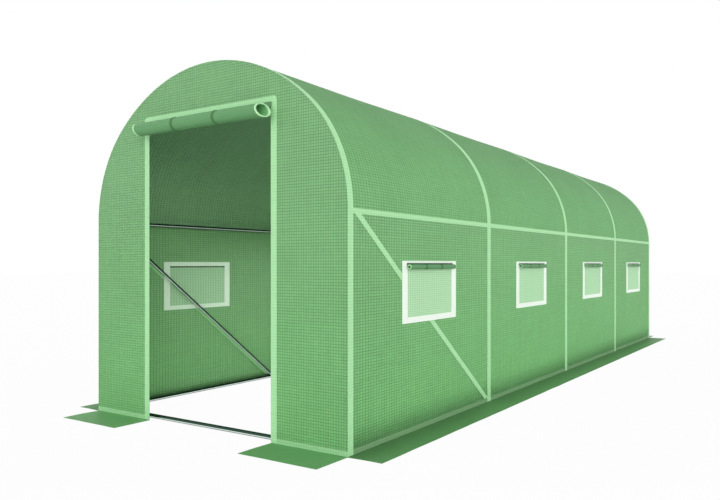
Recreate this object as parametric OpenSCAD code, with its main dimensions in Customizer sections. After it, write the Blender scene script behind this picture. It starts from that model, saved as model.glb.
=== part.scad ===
// Walk-in polytunnel greenhouse: a woven film cover on five galvanised steel hoops.
// Units are millimetres. The origin is the centre of the footprint, on the ground.
// +X runs across the front to the right, +Y from the front to the rear, +Z up.

/* [Tunnel] */
// Width over the cover
tunnel_w = 2000; // [1600:10:2600]
// Height of the straight side walls, up to the eave
eave_h = 1197; // [1000:1:1500]
// Rise of the arched roof above the eave
roof_rise = 856; // [800:1:1000]
// Radius of the roof over each eave
shoulder_r = 760; // [700:1:780]
// Length of one bay, from hoop to hoop
bay_l = 1500; // [1200:10:1900]

/* [Steel frame] */
// Diameter of the hoop tubes
hoop_d = 28; // [22:1:34]
// Diameter of the rails that lie on the ground
ground_rail_d = 28; // [22:1:34]
// Diameter of the eave rails and the ridge rail
side_rail_d = 19; // [16:1:25]
// Diameter of the diagonal braces
brace_d = 19; // [16:1:19]

/* [Cover] */
// Thickness of the film
film_t = 3; // [2:0.5:4]
// Width of the ground flaps along the sides
side_flap_w = 202; // [150:1:300]
// Width of the ground flaps at the front and rear
end_flap_w = 226; // [150:1:300]
// Thickness of the reinforcing tapes
tape_t = 1; // [0.8:0.1:1.5]
// Width of the tapes over the hoops
hoop_tape_w = 50; // [40:1:60]
// Height of the tapes along the eaves and along the ground
band_h = 27; // [20:1:35]
// Width of the tapes along the diagonal braces
brace_tape_w = 33; // [25:1:55]

/* [Doorway] */
// Clear width of the doorway
door_w = 990; // [800:5:1080]
// Height of the doorway
door_h = 1775; // [1500:1:1790]
// Width of the trim beside the doorway
door_trim_w = 42; // [30:1:50]
// Height of the trim over the doorway
door_trim_h = 28; // [20:1:35]
// Diameter of the rolled-up door
door_roll_d = 76; // [60:1:90]
// Diameter of the hollow in the rolled-up door
door_roll_bore = 58; // [40:1:60]
// Width by which the rolled-up door laps the trim on each side
door_roll_lap = 8; // [0:1:20]
// Drop of the rolled-up door's centre below the top of the doorway
door_roll_drop = 59; // [50:1:70]
// Reach of the rolled-up door's centre in front of the wall
door_roll_out = 68; // [50:1:80]

/* [Windows] */
// Length of a window's net
net_w = 485; // [400:5:600]
// Height of a window's net
net_h = 278; // [200:1:320]
// Height of a window net's lower edge above the ground
net_z = 637; // [500:1:700]
// Thickness of the nets
net_t = 1.5; // [1:0.1:2]
// Width of a window frame's upright borders
frame_side_w = 53; // [40:1:70]
// Height of a window frame's top and bottom borders
frame_band_h = 33; // [30:1:50]
// Thickness of the window frames
frame_t = 2; // [1.5:0.1:3]
// Length of a rolled-up window cover
window_roll_l = 504; // [420:1:590]
// Diameter of a rolled-up window cover
window_roll_d = 28; // [24:1:40]
// Diameter of the hollow in a rolled-up window cover
window_roll_bore = 16; // [12:1:20]

/* [Ties] */
// Width of the ties round the rolls
tie_w = 18; // [12:1:25]
// Thickness of the ties
tie_t = 1; // [0.8:0.1:1.5]

/* [Hidden] */
$fn = 96;
BAYS = 4;
seat = 0.3; // gap between pieces that rest on each other
over = 20; // reach of a cutting shape past what it cuts

half_w = tunnel_w / 2;
ridge_h = eave_h + roof_rise;
hoop_seat = film_t + seat; // from the outside of the cover to a hoop
hoop_axis = hoop_seat + hoop_d / 2;
hoop_span = BAYS * bay_l;
cover_l = hoop_span + 2 * hoop_axis;
front_y = -cover_l / 2;
roof_l = cover_l - 2 * film_t;

// The roof is a three-centred arch: a shoulder arc over each eave and a crown arc between them.
shoulder_x = half_w - shoulder_r;
crown_r = (half_w * half_w + roof_rise * roof_rise - 2 * half_w * shoulder_r)
    / (2 * (roof_rise - shoulder_r));
crown_z = ridge_h - crown_r;
crown_turn = atan2(shoulder_x, eave_h - crown_z);
crown_start = 90 - crown_turn;
seam_turn = 2 * asin(seat / 2 / crown_r); // the crown arcs stop this far short of the shoulder arcs

inner_seat = hoop_seat + hoop_d + seat; // from the outside of the cover to a rail behind a hoop
ground_rail_in = inner_seat + ground_rail_d / 2;
side_rail_in = inner_seat + side_rail_d / 2;
ground_rail_x = half_w - ground_rail_in;
end_rail_y = cover_l / 2 - ground_rail_in;
side_rail_x = half_w - side_rail_in;

// A brace lies between the cover and the rails, flush with the inner side of the hoops.
// It runs from the eave rail just behind the first hoop to the ground rail just before the second.
brace_x = half_w - hoop_seat - hoop_d + brace_d / 2;
brace_top = [brace_x, hoop_d / 2 + 26 - hoop_span / 2, eave_h];
brace_foot = [brace_x, bay_l - hoop_d / 2 - 8 - hoop_span / 2, ground_rail_d / 2];

tape_z = film_t + seat; // foot of the tapes, on the ground flaps
tape_lift = seat + tape_t; // from the outside of the cover to the outside of a tape
eave_band_z = eave_h - band_h * 0.72; // most of the eave tape lies on the flat wall
frame_w = net_w + 2 * frame_side_w;
frame_h = net_h + 2 * frame_band_h;
window_roll_x = frame_t + seat + tie_t + seat + window_roll_d / 2;
window_roll_z = net_z + net_h;
door_roll_y = front_y - door_roll_out;
door_roll_z = door_h - door_roll_drop;
door_roll_l = door_w + 2 * door_roll_lap;

// A straight stretch of film hangs from the wall over the doorway to the back of the door roll.
door_reach = norm([door_roll_out, door_roll_drop]); // from the wall's lower edge to the roll's centre
door_back = door_roll_d / 2 - seat; // from the roll's centre to the back of the stretch
door_slant = atan2(door_roll_out, door_roll_drop) - asin(door_back / door_reach);

FILM = [0.49, 0.73, 0.49];
FLAP = [0.32, 0.56, 0.32];
TAPE = [0.70, 0.91, 0.69];
FRAME = [0.92, 1.0, 0.91];
NET = [0.69, 0.88, 0.69];
ROLL = [0.38, 0.62, 0.38];
TIE = [0.22, 0.42, 0.24];
STEEL = [0.62, 0.68, 0.70];

function hoop_y(i) = (i - 1 - BAYS / 2) * bay_l;
function bay_y(i) = (i - 1 / 2 - BAYS / 2) * bay_l;

// ---- Helpers ----

// A round bar from one point to another
module bar(from, to, d) {
    run = to - from;
    translate(from)
        rotate([0, acos(run[2] / norm(run)), atan2(run[1], run[0])])
            cylinder(d = d, h = norm(run));
}

// The same thing on the left, as a mirror image of the right
module on_left() {
    mirror([1, 0, 0]) children();
}

// A band bent about a line along Y, centred in length on y = 0
module arc_band(x, z, r, t, l, start, sweep) {
    translate([x, l / 2, z])
        rotate([90, 0, 0])
            rotate([0, 0, start])
                rotate_extrude(angle = sweep)
                    translate([r - t, 0])
                        square([t, l]);
}

// A round tube bent about a line along Y
module arc_tube(x, z, r, d, start, sweep) {
    translate([x, 0, z])
        rotate([90, 0, 0])
            rotate([0, 0, start])
                rotate_extrude(angle = sweep)
                    translate([r, 0])
                        circle(d = d);
}

// A plate in the plane of an end wall: x to the right, y up, its front at y = 0
module end_plate(t) {
    translate([0, t, 0])
        rotate([90, 0, 0])
            linear_extrude(t)
                children();
}

// A plate in the plane of the right side wall: x along the tunnel, y up
module side_plate(x, t) {
    translate([x, 0, 0])
        rotate([90, 0, 90])
            linear_extrude(t)
                children();
}

// The outline of the tunnel's end
module end_outline() {
    translate([-half_w, 0])
        square([tunnel_w, eave_h]);
    for (side = [-1, 1])
        translate([side * shoulder_x, eave_h])
            circle(r = shoulder_r);
    translate([0, crown_z])
        intersection() {
            circle(r = crown_r);
            crown_wedge(2 * crown_r);
        }
}

// A triangle from the crown's centre that spans the crown arc
module crown_wedge(reach) {
    tip = [reach * sin(crown_turn), reach * cos(crown_turn)];
    polygon([[0, 0], tip, [-tip[0], tip[1]]]);
}

// ---- Steel frame ----

// Two bent uprights, and a crown tube that is plugged between them
module hoop(i) {
    color(STEEL)
        translate([0, hoop_y(i), 0]) {
            hoop_upright();
            on_left() hoop_upright();
            arc_tube(
                0, crown_z, crown_r - hoop_axis, hoop_d,
                crown_start + seam_turn, 2 * (crown_turn - seam_turn)
            );
        }
}

module hoop_upright() {
    translate([half_w - hoop_axis, 0, 0])
        cylinder(d = hoop_d, h = eave_h);
    arc_tube(shoulder_x, eave_h, shoulder_r - hoop_axis, hoop_d, 0, crown_start);
}

module ground_rail_right() {
    reach = end_rail_y - ground_rail_d / 2 - seat;
    z = ground_rail_d / 2;
    color(STEEL)
        bar([ground_rail_x, -reach, z], [ground_rail_x, reach, z], ground_rail_d);
}

module ground_rail_rear() {
    reach = half_w - film_t - seat;
    z = ground_rail_d / 2;
    color(STEEL)
        bar([-reach, end_rail_y, z], [reach, end_rail_y, z], ground_rail_d);
}

module long_rail(x, z) {
    reach = cover_l / 2 - film_t - seat;
    color(STEEL)
        bar([x, -reach, z], [x, reach, z], side_rail_d);
}

module brace_right() {
    color(STEEL)
        bar(brace_foot, brace_top, brace_d);
}

// ---- Film cover ----

module front_wall_right() {
    color(FILM)
        translate([0, front_y, 0])
            end_plate(film_t)
                intersection() {
                    end_outline();
                    translate([door_w / 2, 0])
                        square([half_w, door_h]);
                }
}

module front_gable() {
    color(FILM)
        translate([0, front_y, 0])
            end_plate(film_t)
                intersection() {
                    end_outline();
                    translate([-half_w, door_h])
                        square([tunnel_w, ridge_h]);
                }
}

module rear_wall() {
    color(FILM)
        translate([0, -front_y - film_t, 0])
            end_plate(film_t)
                end_outline();
}

module side_wall_right() {
    color(FILM)
        side_plate(half_w - film_t, film_t)
            difference() {
                translate([-roof_l / 2, 0])
                    square([roof_l, eave_h]);
                each_window() net_outline();
            }
}

module roof_shoulder_right() {
    color(FILM)
        arc_band(shoulder_x, eave_h, shoulder_r, film_t, roof_l, 0, crown_start);
}

module roof_crown_right() {
    color(FILM)
        arc_band(
            0, crown_z, crown_r, film_t, roof_l,
            crown_start + seam_turn, crown_turn - 1.5 * seam_turn
        );
}

module ground_flap_right() {
    color(FLAP)
        translate([half_w, -cover_l / 2, 0])
            cube([side_flap_w, cover_l, film_t]);
}

module ground_flap_front_right() {
    color(FLAP)
        translate([door_w / 2, front_y - end_flap_w, 0])
            cube([half_w - door_w / 2, end_flap_w, film_t]);
}

module ground_flap_rear() {
    color(FLAP)
        translate([-half_w, -front_y, 0])
            cube([tunnel_w, end_flap_w, film_t]);
}

// ---- Reinforcing tapes ----

// The stretch of a side wall that the tape over hoop i covers
module hoop_tape_outline(i) {
    left = max(hoop_y(i) - hoop_tape_w / 2, -cover_l / 2);
    right = min(hoop_y(i) + hoop_tape_w / 2, cover_l / 2);
    translate([left, 0])
        square([right - left, eave_h + band_h]);
}

module hoop_tape(i) {
    low = max(hoop_y(i) - hoop_tape_w / 2, -cover_l / 2);
    high = min(hoop_y(i) + hoop_tape_w / 2, cover_l / 2);
    translate([0, (low + high) / 2, 0]) {
        hoop_tape_side(high - low);
        on_left() hoop_tape_side(high - low);
        arc_band(
            0, crown_z, crown_r + tape_lift, tape_t, high - low,
            crown_start + seam_turn, 2 * (crown_turn - seam_turn)
        );
    }
}

module hoop_tape_side(w) {
    translate([half_w + seat, -w / 2, tape_z])
        cube([tape_t, w, eave_h - tape_z]);
    arc_band(shoulder_x, eave_h, shoulder_r + tape_lift, tape_t, w, 0, crown_start);
}

module hoop_tapes() {
    color(TAPE)
        for (i = [1 : BAYS + 1])
            hoop_tape(i);
}

// A level tape on a side wall, in stretches between the hoop tapes
module side_band_outline(z) {
    difference() {
        translate([-cover_l / 2, z])
            square([cover_l, band_h]);
        for (i = [1 : BAYS + 1])
            hoop_tape_outline(i);
    }
}

module eave_tape_right() {
    side_plate(half_w + seat, tape_t)
        side_band_outline(eave_band_z);
}

module eave_tapes() {
    color(TAPE)
        union() {
            eave_tape_right();
            on_left() eave_tape_right();
        }
}

module hem_tape_right() {
    side_plate(half_w + seat, tape_t)
        side_band_outline(tape_z);
    translate([door_w / 2 + door_trim_w, front_y - seat - tape_t, tape_z])
        cube([half_w - door_w / 2 - door_trim_w, tape_t, band_h]);
}

module hem_tapes() {
    color(TAPE)
        union() {
            hem_tape_right();
            on_left() hem_tape_right();
            translate([-half_w, -front_y + seat, tape_z])
                cube([tunnel_w, tape_t, band_h]);
        }
}

// The tape along a brace runs from the first hoop tape at the eave to the second at the ground,
// and the window frame covers its middle.
module brace_tape_right() {
    run = brace_foot - brace_top;
    slope = atan2(run[2], run[1]);
    side_plate(half_w + seat, tape_t)
        difference() {
            intersection() {
                translate([brace_top[1], brace_top[2]])
                    rotate(slope)
                        translate([-over * 4, -brace_tape_w / 2])
                            square([norm(run) + over * 8, brace_tape_w]);
                translate([hoop_y(1), tape_z + band_h])
                    square([bay_l, eave_band_z - tape_z - band_h]);
            }
            hoop_tape_outline(1);
            hoop_tape_outline(2);
            translate([bay_y(1) - frame_w / 2, net_z - frame_band_h])
                square([frame_w, frame_h]);
        }
}

module brace_tapes() {
    color(TAPE)
        union() {
            brace_tape_right();
            on_left() brace_tape_right();
        }
}

// ---- Doorway ----

module door_trim() {
    color(TAPE)
        translate([0, front_y - seat - tape_t, 0])
            end_plate(tape_t)
                difference() {
                    translate([-door_w / 2 - door_trim_w, tape_z])
                        square([door_w + 2 * door_trim_w, door_h + door_trim_h - tape_z]);
                    translate([-door_w / 2, tape_z - over])
                        square([door_w, door_h - tape_z + over]);
                }
}

// The door, rolled up round its own hollow
module door_roll() {
    color(ROLL)
        difference() {
            union() {
                bar(
                    [-door_roll_l / 2, door_roll_y, door_roll_z],
                    [door_roll_l / 2, door_roll_y, door_roll_z],
                    door_roll_d
                );
                door_hang();
            }
            bar(
                [-door_roll_l / 2 - over, door_roll_y, door_roll_z],
                [door_roll_l / 2 + over, door_roll_y, door_roll_z],
                door_roll_bore
            );
        }
}

// The stretch of film from the wall over the doorway down to the back of the roll
module door_hang() {
    hang_l = sqrt(door_reach * door_reach - door_back * door_back);
    translate([0, front_y, door_h])
        intersection() {
            rotate([-door_slant, 0, 0])
                translate([seat - door_w / 2, -film_t, -hang_l])
                    cube([door_w - 2 * seat, film_t, hang_l + over]);
            translate([-door_w, -door_roll_out, -door_h - seat])
                cube([2 * door_w, 2 * door_roll_out, door_h]);
        }
}

// Each tie starts behind the roll and goes under it, over the front and up to the top.
module door_roll_ties() {
    color(TIE)
        for (side = [-1, 1])
            translate([side * door_roll_l / 6 - tie_w / 2, door_roll_y, door_roll_z])
                rotate([90, 0, 90])
                    rotate([0, 0, 90])
                        rotate_extrude(angle = 270 - door_slant)
                            translate([door_roll_d / 2 + seat, 0])
                                square([tie_t, tie_w]);
}

// ---- Windows ----

// One copy of a flat outline at the middle of each bay
module each_window() {
    for (i = [1 : BAYS])
        translate([bay_y(i), 0])
            children();
}

module net_outline() {
    translate([-net_w / 2, net_z])
        square([net_w, net_h]);
}

module window_frames_right() {
    color(FRAME)
        side_plate(half_w, frame_t)
            each_window()
                difference() {
                    translate([-frame_w / 2, net_z - frame_band_h])
                        square([frame_w, frame_h]);
                    net_outline();
                }
}

module window_nets_right() {
    color(NET)
        side_plate(half_w - net_t, net_t)
            each_window() net_outline();
}

module window_rolls_right() {
    color(ROLL)
        for (i = [1 : BAYS])
            translate([half_w + window_roll_x, bay_y(i), window_roll_z])
                rotate([90, 0, 0])
                    difference() {
                        cylinder(d = window_roll_d, h = window_roll_l, center = true);
                        cylinder(d = window_roll_bore, h = window_roll_l + over, center = true);
                    }
}

module window_ties_right() {
    color(TIE)
        for (i = [1 : BAYS], side = [-1, 1])
            translate([half_w + window_roll_x, bay_y(i) + side * window_roll_l / 6, window_roll_z])
                rotate([90, 0, 0])
                    difference() {
                        cylinder(d = window_roll_d + 2 * (seat + tie_t), h = tie_w, center = true);
                        cylinder(d = window_roll_d + 2 * seat, h = tie_w + over, center = true);
                    }
}

// ---- Nodes ----

hoop(1);  // hoop_1
hoop(2);  // hoop_2
hoop(3);  // hoop_3
hoop(4);  // hoop_4
hoop(5);  // hoop_5
on_left() ground_rail_right();  // ground_rail_left
ground_rail_right();
mirror([0, 1, 0]) ground_rail_rear();  // ground_rail_front
ground_rail_rear();
long_rail(-side_rail_x, eave_h);  // side_rail_left
long_rail(side_rail_x, eave_h);  // side_rail_right
long_rail(0, ridge_h - side_rail_in);  // ridge_rail
on_left() brace_right();  // brace_left
brace_right();
on_left() front_wall_right();  // front_wall_left
front_wall_right();
front_gable();
rear_wall();
on_left() side_wall_right();  // side_wall_left
side_wall_right();
on_left() roof_shoulder_right();  // roof_shoulder_left
on_left() roof_crown_right();  // roof_crown_left
roof_crown_right();
roof_shoulder_right();
on_left() ground_flap_right();  // ground_flap_left
ground_flap_right();
on_left() ground_flap_front_right();  // ground_flap_front_left
ground_flap_front_right();
ground_flap_rear();
hoop_tapes();
eave_tapes();
hem_tapes();
brace_tapes();
door_trim();
door_roll();
door_roll_ties();
on_left() window_frames_right();  // window_frames_left
window_frames_right();
on_left() window_nets_right();  // window_nets_left
window_nets_right();
on_left() window_rolls_right();  // window_rolls_left
window_rolls_right();
on_left() window_ties_right();  // window_ties_left
window_ties_right();
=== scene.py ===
"""A walk-in polytunnel greenhouse: woven film cover, tapes, mesh windows and rolls round a steel frame."""

import math

import bpy
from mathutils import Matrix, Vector, noise
from mathutils.geometry import delaunay_2d_cdt


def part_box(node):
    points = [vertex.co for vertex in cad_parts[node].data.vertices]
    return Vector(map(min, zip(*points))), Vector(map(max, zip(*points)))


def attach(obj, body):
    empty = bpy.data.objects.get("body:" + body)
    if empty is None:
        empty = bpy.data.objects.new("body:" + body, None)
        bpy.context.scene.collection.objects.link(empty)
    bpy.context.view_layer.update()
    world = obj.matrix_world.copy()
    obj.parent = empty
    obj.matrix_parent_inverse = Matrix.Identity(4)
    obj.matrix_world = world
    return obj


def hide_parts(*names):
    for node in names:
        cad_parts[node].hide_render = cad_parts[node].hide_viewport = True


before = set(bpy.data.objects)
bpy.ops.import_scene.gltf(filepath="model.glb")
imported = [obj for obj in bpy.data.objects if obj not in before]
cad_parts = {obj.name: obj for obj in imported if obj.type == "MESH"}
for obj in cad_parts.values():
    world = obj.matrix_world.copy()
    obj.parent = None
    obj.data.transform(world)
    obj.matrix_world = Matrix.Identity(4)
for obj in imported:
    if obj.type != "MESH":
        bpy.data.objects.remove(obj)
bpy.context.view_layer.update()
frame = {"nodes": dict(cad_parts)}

# ---- Sizes, in metres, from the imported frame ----

BODY = "root"
CLOTH_UV = "Cloth"  # the layer with each point's place on the flat cloth
HOOPS = 5
BAYS = HOOPS - 1
HOOP_NAMES = [f"hoop_{i + 1}" for i in range(HOOPS)]

SIDES = ((1, "right"), (-1, "left"))

HALF_W, _, EAVE_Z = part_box("side_wall_right")[1]
_, REAR_Y, RIDGE_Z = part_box("rear_wall")[1]
_, FRONT_Y, DOOR_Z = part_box("front_gable")[0]
DOOR_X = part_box("front_wall_right")[0][0]
TRIM_X, _, TRIM_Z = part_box("door_trim")[1]
TAPE_FOOT_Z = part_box("hem_tapes")[0][2]
HEM_TOP_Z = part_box("hem_tapes")[1][2]
EAVE_TAPE_Z = (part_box("eave_tapes")[0][2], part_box("eave_tapes")[1][2])
HOOP_Y = [sum(corner[1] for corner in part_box(name)) / 2 for name in HOOP_NAMES]
BAY_L = HOOP_Y[1] - HOOP_Y[0]
BAY_Y = [y + BAY_L / 2 for y in HOOP_Y[:-1]]

# The roof is a three-centred arch, as in the CAD model.
SHOULDER_R = 0.760
SHOULDER_X = HALF_W - SHOULDER_R
RISE = RIDGE_Z - EAVE_Z
CROWN_R = (HALF_W**2 + RISE**2 - 2 * HALF_W * SHOULDER_R) / (2 * (RISE - SHOULDER_R))
CROWN_Z = RIDGE_Z - CROWN_R
CROWN_TURN = math.atan2(SHOULDER_X, EAVE_Z - CROWN_Z)
# Distances round the cover from the ridge: to the end of the crown, the eave and the ground.
TO_SHOULDER = CROWN_R * CROWN_TURN
TO_EAVE = TO_SHOULDER + SHOULDER_R * (math.pi / 2 - CROWN_TURN)
TO_GROUND = TO_EAVE + EAVE_Z
ROOF_MARKS = (-TO_EAVE, -TO_SHOULDER, 0, TO_SHOULDER, TO_EAVE)  # where the arch changes its radius

FILM_T = 0.0012  # visible thickness of the film
TAPE_LIFT = 0.0004  # gap between the film and a tape
TAPE_T = 0.0008  # thickness of a tape
TAPE_W = 0.050  # width of the tapes over the hoops
SLACK = 0.0035  # how far the film sinks midway between two hoops
TAUT_TO = 0.35  # the height up to which the film is pulled tighter
END_CELL = (0.016, 0.015)  # a cell of the scrim on the end walls: across, up
LONG_CELL = (0.023, 0.015)  # a cell on the long walls and the roof: along, around
SMOOTH_ANGLE = math.radians(35)  # faces that meet more sharply than this show an edge


# ---- Where the cover is ----


def section(along):
    """The point of the cover's outside at a distance from the ridge, and the way out: (x, z, nx, nz)."""
    side = 1 if along >= 0 else -1
    run = abs(along)
    if run > TO_EAVE:
        return side * HALF_W, EAVE_Z + TO_EAVE - run, side, 0.0
    if run <= TO_SHOULDER:
        x, z, radius, turn = 0.0, CROWN_Z, CROWN_R, run / CROWN_R
    else:
        x, z, radius, turn = SHOULDER_X, EAVE_Z, SHOULDER_R, CROWN_TURN + (run - TO_SHOULDER) / SHOULDER_R
    nx, nz = math.sin(turn), math.cos(turn)
    return side * (x + radius * nx), z + radius * nz, side * nx, nz


def to_along(z):
    """Distance round the cover from the ridge to a height on a side wall."""
    return TO_EAVE + EAVE_Z - z


def slack(y, z):
    """How far the film sinks at a place: most midway between hoops, nothing on a hoop or at the ground."""
    between = math.sin(math.pi * (y - HOOP_Y[0]) / BAY_L) ** 2
    free = min(1.0, max(0.0, z / TAUT_TO))
    ripple = 0.25 * noise.noise(Vector((y * 2.1, z * 2.7, 4.0)))
    return SLACK * between * free * (1 + ripple)


def on_cover(y, along, lift):
    """A point on the walls and roof, from its place along the tunnel and its distance from the ridge."""
    x, z, nx, nz = section(along)
    out = lift - slack(min(max(y, HOOP_Y[0]), HOOP_Y[-1]), z)
    return Vector((x + nx * out, y, z + nz * out))


def on_front(x, z, lift):
    """A point on the front wall."""
    return Vector((x, FRONT_Y - lift, z))


def on_rear(x, z, lift):
    """A point on the rear wall."""
    return Vector((x, REAR_Y + lift, z))


def mirrored(place, side):
    """The place function for a side of the tunnel: 1 is the right side and -1 the left."""

    def put(u, v, lift):
        return place(u, side * v, lift)

    return put


# ---- Mesh helpers ----


def spaced(low, high, step):
    """Places from low to high, about a step apart."""
    count = max(1, round((high - low) / step))
    return [low + (high - low) * i / count for i in range(count + 1)]


def added(name, data):
    """A new object of the scene."""
    obj = bpy.data.objects.new(name, data)
    bpy.context.scene.collection.objects.link(obj)
    return obj


def new_mesh(name, points, faces, uvs, material):
    """A shaded mesh object that rides on the part."""
    mesh = bpy.data.meshes.new(name)
    mesh.from_pydata([tuple(p) for p in points], [], faces)
    layer = mesh.uv_layers.new(name=CLOTH_UV)
    for loop in mesh.loops:
        layer.data[loop.index].uv = uvs[loop.vertex_index]
    mesh.polygons.foreach_set("use_smooth", [True] * len(mesh.polygons))
    mesh.set_sharp_from_angle(angle=SMOOTH_ANGLE)
    mesh.materials.append(material)
    obj = added(name, mesh)
    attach(obj, BODY)
    return obj


def turned_out(points, faces, out, sample):
    """The faces, all reversed if the sample face looks against the way out."""
    a, b, c = (Vector(points[i]) for i in faces[sample][:3])
    if (b - a).cross(c - b).dot(Vector(out)) < 0:
        return [tuple(reversed(face)) for face in faces]
    return faces


def thicken(net, place, lift, thick, out, sample=0):
    """A flat net made into a closed sheet: its points, its faces, turned out, and cloth coordinates."""
    flat, faces = net
    count = len(flat)
    points = [place(u, v, lift + thick) for u, v in flat] + [place(u, v, lift) for u, v in flat]
    solid = [tuple(face) for face in faces]
    solid += [tuple(i + count for i in reversed(face)) for face in faces]
    edges = {(face[i - 1], face[i]) for face in faces for i in range(len(face))}
    for a, b in edges:
        if (b, a) not in edges:
            solid.append((b, a, a + count, b + count))
    return points, turned_out(points, solid, out, sample), list(flat) * 2


def only_used(points, faces):
    """The points that some face uses, and the faces numbered to match."""
    used = sorted({i for face in faces for i in face})
    new_index = {old: new for new, old in enumerate(used)}
    return [tuple(points[i]) for i in used], [tuple(new_index[i] for i in face) for face in faces]


def grid_net(us, vs, holes=()):
    """A flat net of rectangles between the given lines, without those inside a hole (u0, v0, u1, v1)."""

    def in_hole(u, v):
        return any(h[0] < u < h[2] and h[1] < v < h[3] for h in holes)

    flat = [(u, v) for v in vs for u in us]
    width = len(us)
    faces = []
    for j in range(len(vs) - 1):
        for i in range(width - 1):
            if not in_hole((us[i] + us[i + 1]) / 2, (vs[j] + vs[j + 1]) / 2):
                corner = j * width + i
                faces.append((corner, corner + 1, corner + width + 1, corner + width))
    return only_used(flat, faces)


def edged(outline, step):
    """A closed outline with points added along its edges, about a step apart."""
    points = []
    for i, (u1, v1) in enumerate(outline):
        u0, v0 = outline[i - 1]
        count = max(1, round(math.hypot(u1 - u0, v1 - v0) / step))
        points += [(u0 + (u1 - u0) * k / count, v0 + (v1 - v0) * k / count) for k in range(count)]
    return points


INSIDE_ONLY = 1  # Blender's number for a triangulation without what lies outside its outline


def outline_net(outline, step):
    """A flat net of triangles inside a closed outline."""
    us, vs = (spaced(min(way), max(way), step)[1:-1] for way in zip(*outline))
    edge = edged(outline, step)
    points = [Vector(p) for p in edge] + [Vector((u, v)) for u in us for v in vs]
    ring = [list(range(len(edge)))]
    verts, _, faces, _, _, _ = delaunay_2d_cdt(points, [], ring, INSIDE_ONLY, 1e-6)
    return only_used(verts, faces)


def sheet_piece(name, net, place, material, lift, thick, out, inner=None):
    """A closed thin sheet laid out by place(u, v, lift). Its inner side may have its own material."""
    piece = new_mesh(name, *thicken(net, place, lift, thick, out), material)
    if inner is not None:
        piece.data.materials.append(inner)
        count = len(net[1])
        for face in piece.data.polygons[count:2 * count]:
            face.material_index = 1
    return piece


def lines_between(breaks, step):
    """Grid lines through all the given places, with more between them, about a step apart."""
    marks = sorted(breaks)
    found = marks[:1]
    for low, high in zip(marks, marks[1:]):
        found += spaced(low, high, step)[1:]
    return found


def clipped(outline, a, b, c):
    """The part of a convex outline where a * u + b * v is at most c."""
    kept = []
    for i, (u1, v1) in enumerate(outline):
        u0, v0 = outline[i - 1]
        d0, d1 = a * u0 + b * v0 - c, a * u1 + b * v1 - c
        if (d0 <= 0) != (d1 <= 0):
            share = d0 / (d0 - d1)
            kept.append((u0 + (u1 - u0) * share, v0 + (v1 - v0) * share))
        if d1 <= 0:
            kept.append((u1, v1))
    return kept


def joined(parts):
    """Several (points, faces, uvs) as one."""
    points, faces, uvs = [], [], []
    for more_points, more_faces, more_uvs in parts:
        start = len(points)
        points += more_points
        faces += [tuple(i + start for i in face) for face in more_faces]
        uvs += more_uvs
    return points, faces, uvs


def strips_piece(name, nets, place, material, lift, thick, out):
    """Several closed thin sheets as one mesh."""
    parts = [thicken(net, place, lift, thick, out) for net in nets]
    return new_mesh(name, *joined(parts), material)


# ---- Materials ----


def srgb(red, green, blue):
    """A colour as read off a screen, from 0 to 255, in the linear values that shaders take."""
    return tuple((((c / 255) + 0.055) / 1.055) ** 2.4 for c in (red, green, blue)) + (1.0,)


def tinted(colour, factors):
    """A colour with its red, green and blue each multiplied by a factor of its own."""
    return tuple(c * f for c, f in zip(colour, factors)) + (1.0,)


def toned(colour, factor):
    """A colour made lighter or darker."""
    return tinted(colour, (factor, factor, factor))


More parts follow.
